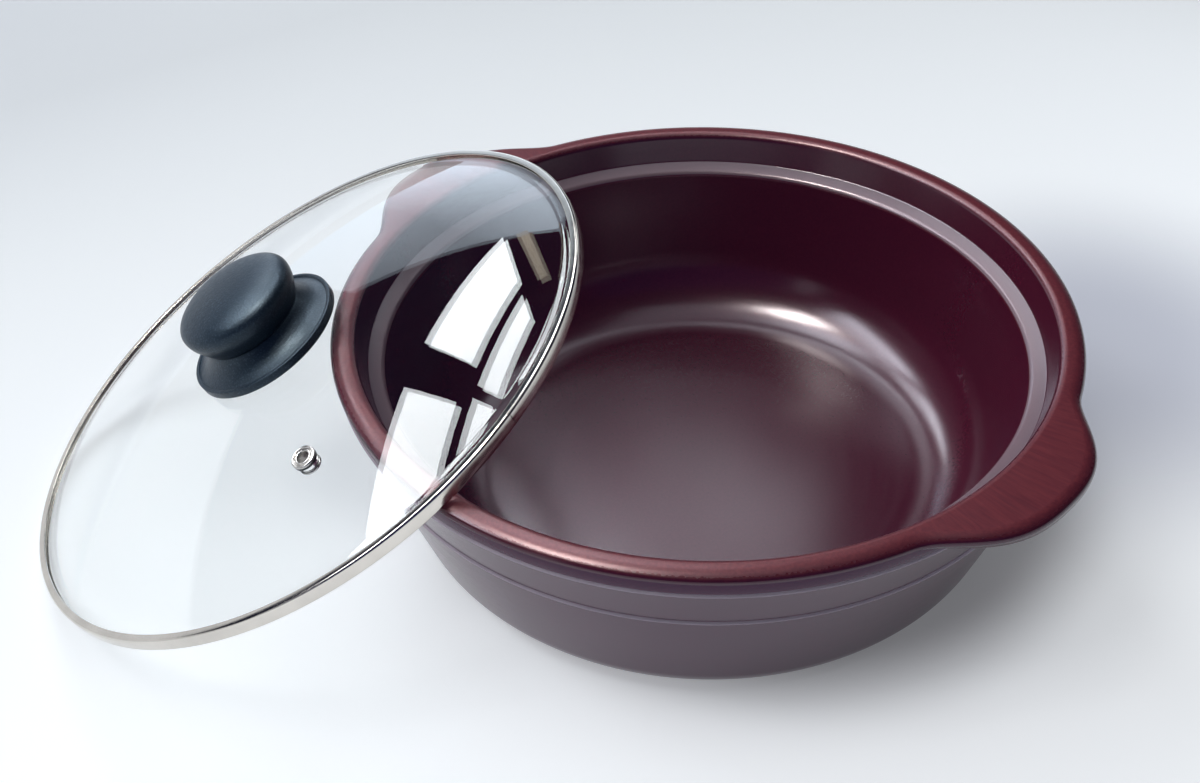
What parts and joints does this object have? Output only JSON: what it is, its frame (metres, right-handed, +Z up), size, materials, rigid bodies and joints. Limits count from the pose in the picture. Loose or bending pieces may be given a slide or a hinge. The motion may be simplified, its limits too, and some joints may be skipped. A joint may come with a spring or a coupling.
{
  "type": "clay saucepan with glass lid",
  "caption": "Low round clay saucepan with ear handles on its rim, a sloping lid seat inside it and a domed glass lid with a steel edge, steam vent and screwed knob, leaning on the rim.",
  "frame": {"origin": "centre of the pot's flat base, on the surface that it stands on", "axes": "+Z up along the pot's axis; the ears lie along 39.6 degrees clockwise from +X and opposite; the lid leans towards -X"},
  "size_m": [0.3935, 0.271, 0.1153],
  "materials": {
    "clay_glaze": "satin burgundy glaze",
    "lid_glass": "clear tempered glass",
    "band_steel": "polished stainless steel",
    "vent_steel": "bright stamped steel",
    "washer_steel": "plain steel",
    "screw_steel": "plain steel",
    "knob_plastic": "fine-grained charcoal moulding",
    "gasket_silicone": "milky silicone",
    "insert_brass": "turned brass"
  },
  "bodies": {
    "pot": {"pot_body": "clay_glaze"},
    "lid": {"lid_glass": "lid_glass", "lid_rim_band": "band_steel", "vent_eyelet": "vent_steel", "vent_washer": "washer_steel", "knob_grip": "knob_plastic", "knob_base": "knob_plastic", "knob_gasket_top": "gasket_silicone", "knob_gasket_under": "gasket_silicone", "knob_washer": "washer_steel", "knob_screw": "screw_steel", "knob_insert": "insert_brass"}
  },
  "joints": [
    {"name": "lid_lift", "type": "slide", "parent": "pot", "child": "lid", "axis": [-0.4554, -0.0738, 0.8872], "range_m": [0, 0.2]}
  ]
}
